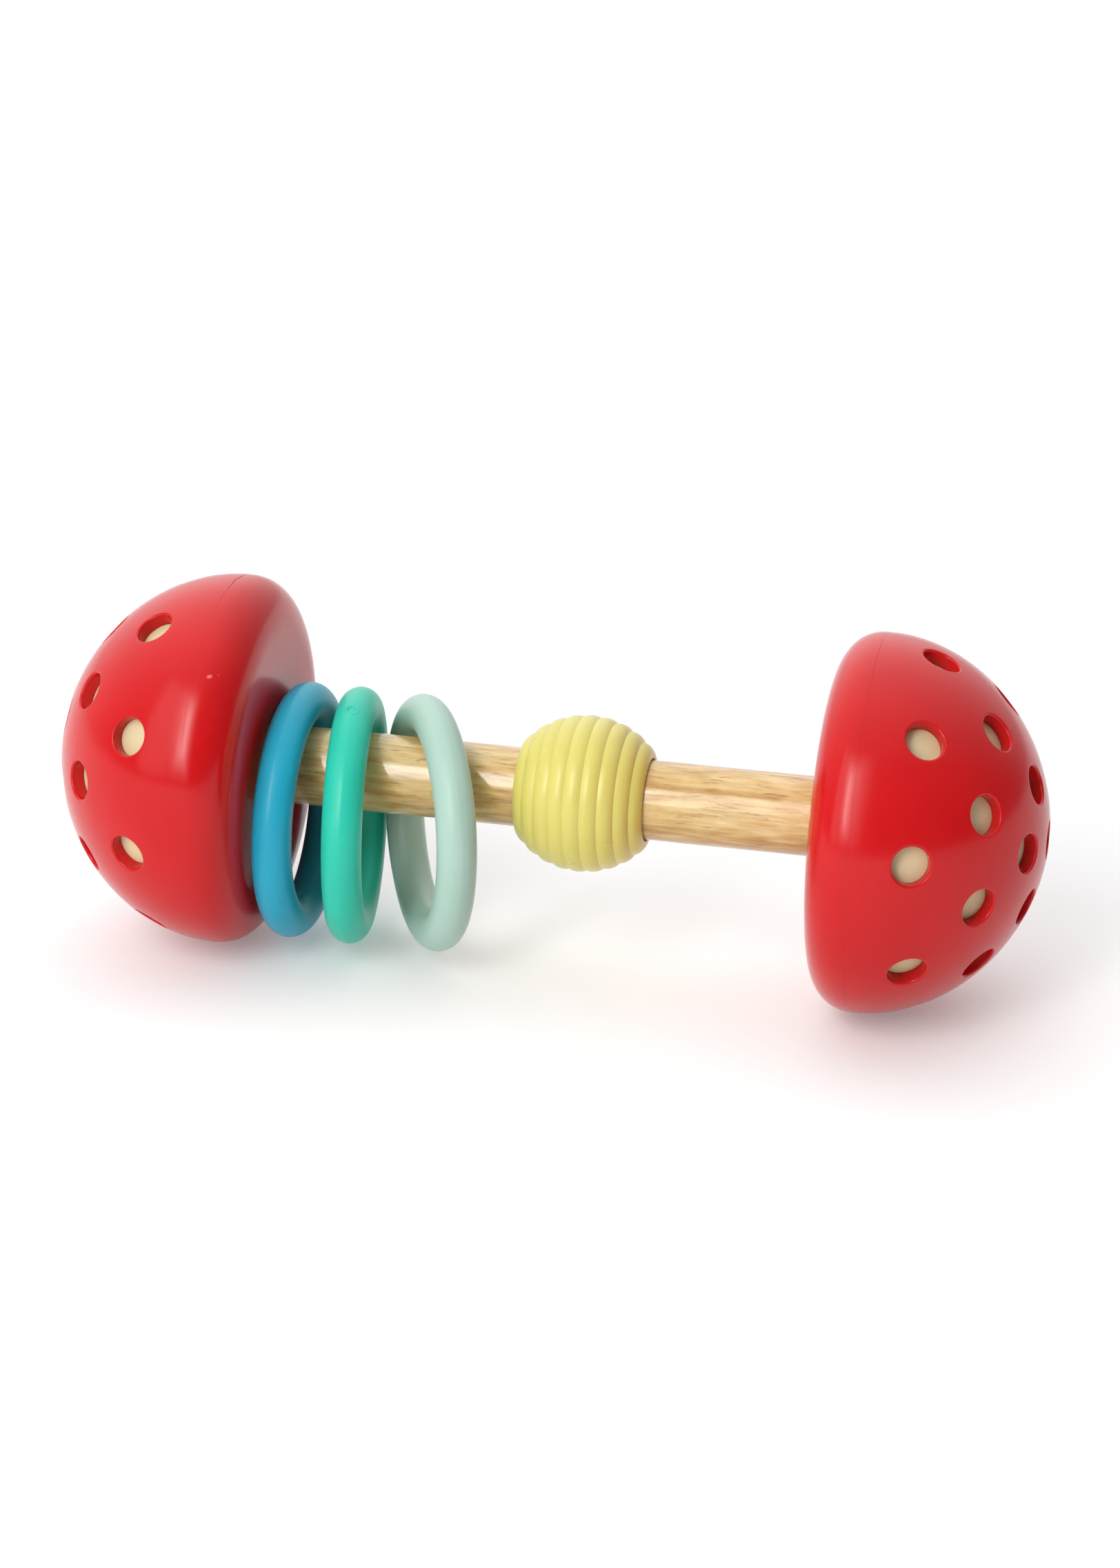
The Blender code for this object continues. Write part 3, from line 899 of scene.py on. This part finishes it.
def build_cap(side, direction, turn, open_seam, mats):
    """One cap: all its pieces ride on the handle, but for the beads, which have their own body."""
    outward = outward_matrix(direction)
    top = math.radians(-turn)

    def add(part, slot, mesh, material, matrix=None, normals=None, body="handle"):
        node = f"{side}_{part}"
        piece(f"{node}_fine", node, body, slot, *mesh, mats[material], matrix, normals)

    points, faces, normals = place_dome(dome_mesh(top, open_seam), direction, turn)
    add("cap_dome", "red_plastic", (points, faces), "red", normals=normals)

    def follow_seam(radius, angle, height):
        """Moves the upper part of the back's side with the dome's edge."""
        half = 0.5 * PARTING_HEIGHT
        if radius > CAP_RADIUS - WALL - 2 * GAP and half < height < PARTING_HEIGHT:
            share = min(1.0, (height - half) / (half - SEAM_DROP - SEAM_BAND))
            # The same angle as dome_mesh counts it, before the dome's turn.
            from_start = direction * (angle - (math.pi if direction > 0 else 0.0)) + top
            height += share * (seam_wave(from_start, top) - seam_half_gap(from_start, top, open_seam))
        return radius, angle, height

    washer_bottom = SOCKET_DEPTH + SOCKET_FLOOR + GAP
    add("cap_back", "red_plastic", lathe(back_profile(), RIM_SIDES, follow_seam), "red", outward)
    add("hole_liner", "cream_plastic", lathe(liner_profile(), 96), "cream", outward)
    add("chamber_plate", "cream_plastic", lathe(plate_profile(), 72), "cream", outward)
    add("cap_washer", "steel", lathe(washer_profile(washer_bottom), 48), "steel", outward)
    add("cap_screw", "steel", screw_mesh(washer_bottom + WASHER_THICKNESS + GAP), "steel", outward)
    for i in range(1, BEADS + 1):
        tilt = Matrix.Rotation(0.7 * i, 4, "X") @ Matrix.Rotation(1.1 * i + direction, 4, "Y")
        place = to_middle(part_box(f"{side}_bead_{i}")) @ tilt
        add(f"bead_{i}", "bead_plastic", bead_mesh(BEAD_RADIUS), "bead", place, body=f"{side}_beads")


def to_middle(box):
    """The matrix that moves the origin to the middle of a box."""
    low, high = (Vector(corner) for corner in box)
    return Matrix.Translation((low + high) / 2)


def build_ring(name, slot, material, mark=None):
    upright = Matrix.Rotation(math.radians(RING_TURNS[name]), 4, "Z") @ ALONG_X
    piece(f"{name}_fine", name, name, slot, *ring_mesh(mark), material, to_middle(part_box(name)) @ upright)


def build_materials():
    """The plastics and steel by their short names."""
    return {
        "red": moulded(
            "red_plastic",
            (0.54, 0.009, 0.011),
            (0.50, 0.007, 0.009),
            0.19,
            0.02,
            speck=(0.85, 0.30, 0.25),
            scuffs=SCUFFS,
            glow=0.15,
            gloss=0.29,
            grain=0.012,
        ),
        "cream": moulded("cream_plastic", (0.70, 0.61, 0.38), (0.64, 0.55, 0.33), 0.5),
        "steel": brushed_steel(),
        "bead": moulded("bead_plastic", (0.76, 0.71, 0.61), (0.70, 0.63, 0.52), 0.35),
        "blue": moulded("blue_plastic", (0.018, 0.35, 0.50), (0.013, 0.31, 0.46), 0.36, 0.03, glow=0.15),
        "teal": moulded("teal_plastic", (0.025, 0.53, 0.385), (0.02, 0.48, 0.345), 0.36, 0.03, glow=0.15),
        "mint": moulded("mint_plastic", (0.375, 0.54, 0.465), (0.345, 0.51, 0.435), 0.34, 0.03, glow=0.2),
        "yellow": moulded(
            "yellow_plastic", (0.62, 0.555, 0.145), (0.58, 0.515, 0.12), 0.29, 0.04, glow=0.3, gloss=0.45
        ),
    }


def build_rattle():
    mats = build_materials()
    for side, direction, turn, open_seam in CAPS:
        build_cap(side, direction, turn, open_seam, mats)
    dowel = lathe(dowel_profile(), 96, dowel_shape)
    piece("handle_dowel_fine", "handle_dowel", "handle", "varnished_wood", *dowel, varnished_wood(), ALONG_X)
    ball = lathe(ball_profile(), 128)
    centre = to_middle(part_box("ribbed_ball")) @ ALONG_X
    piece("ribbed_ball_fine", "ribbed_ball", "ribbed_ball", "yellow_plastic", *ball, mats["yellow"], centre)
    for colour, mark in (("blue", None), ("teal", GATE_MARK_TURN), ("mint", None)):
        build_ring(f"ring_{colour}", f"{colour}_plastic", mats[colour], mark)


# ---------------------------------------------------------------- stage, light and camera


def build_stage():
    mesh = bpy.data.meshes.new("pale_floor")
    z, far = cad_box[0][2] - FLOOR_DROP, FLOOR_REACH
    mesh.from_pydata([(-far, -far, z), (far, -far, z), (far, far, z), (-far, far, z)], [], [(0, 1, 2, 3)])
    mesh.materials.append(floor_material())
    floor = bpy.data.objects.new("pale_floor", mesh)
    bpy.context.scene.collection.objects.link(floor)


def direction_to(azimuth, elevation):
    """The unit vector at an azimuth from -Y towards +X and an elevation, in radians."""
    flat = math.cos(elevation)
    return Vector((math.sin(azimuth) * flat, -math.cos(azimuth) * flat, math.sin(elevation)))


def soft_box(name, azimuth, elevation, width, height, power):
    """An area light facing the handle."""
    light = bpy.data.lights.new(name, "AREA")
    light.shape = "RECTANGLE"
    light.size, light.size_y = width, height
    light.energy = power
    away = direction_to(math.radians(azimuth), math.radians(elevation))
    facing = away.to_track_quat("Z", "Y").to_matrix().to_4x4()
    lamp = bpy.data.objects.new(name, light)
    lamp.matrix_world = Matrix.Translation(away * LIGHT_DISTANCE) @ facing
    bpy.context.scene.collection.objects.link(lamp)


def build_light():
    """Soft boxes, the key in three sizes so that its highlights fade at their edges, and a dim sky."""
    for name, settings in SOFT_BOXES.items():
        soft_box(name, *settings)
    world = bpy.data.worlds.new("studio")
    bpy.context.scene.world = world
    world.use_nodes = True
    nodes = Nodes(world.node_tree)
    world.node_tree.nodes.clear()
    where = nodes.new("TexCoord").outputs["Generated"]
    toward = nodes.new("VectorMath", operation="DOT_PRODUCT")
    nodes.tree.links.new(where, toward.inputs[0])
    toward.inputs[1].default_value = Vector(SKY_BRIGHTEST).normalized()
    share = nodes.math("ADD", nodes.math("MULTIPLY", toward.outputs["Value"], 0.5), 0.5)
    sky = nodes.ramp(share, [(0.0, 0.03), (0.4, 0.06), (0.6, 0.22), (0.8, 0.9), (1.0, 1.8)])
    back = nodes.new("Background", Strength=1.0)
    nodes.feed(back, "Color", sky)
    out = nodes.new("OutputWorld")
    nodes.tree.links.new(back.outputs[0], out.inputs[0])


def build_camera():
    """A long lens from the front, above and a little to the right, rolled slightly."""
    away = direction_to(CAMERA_AZIMUTH, CAMERA_ELEVATION)
    right = Vector((math.cos(CAMERA_AZIMUTH), math.sin(CAMERA_AZIMUTH), 0.0))
    up = away.cross(right)
    x_axis = math.cos(CAMERA_ROLL) * right + math.sin(CAMERA_ROLL) * up
    y_axis = math.cos(CAMERA_ROLL) * up - math.sin(CAMERA_ROLL) * right
    data = bpy.data.cameras.new("camera")
    data.sensor_fit = "VERTICAL"
    data.sensor_height = CAMERA_SENSOR
    data.lens = CAMERA_LENS
    data.clip_start, data.clip_end = 0.01, 20.0
    camera = bpy.data.objects.new("camera", data)
    frame_axes = Matrix((x_axis, y_axis, away)).transposed().to_4x4()
    camera.matrix_world = Matrix.Translation(Vector(CAMERA_TARGET) + away * CAMERA_DISTANCE) @ frame_axes
    bpy.context.scene.collection.objects.link(camera)
    bpy.context.scene.camera = camera


bpy.context.scene.view_settings.view_transform = "Standard"
build_rattle()
build_stage()
build_light()
build_camera()
bpy.context.view_layer.update()
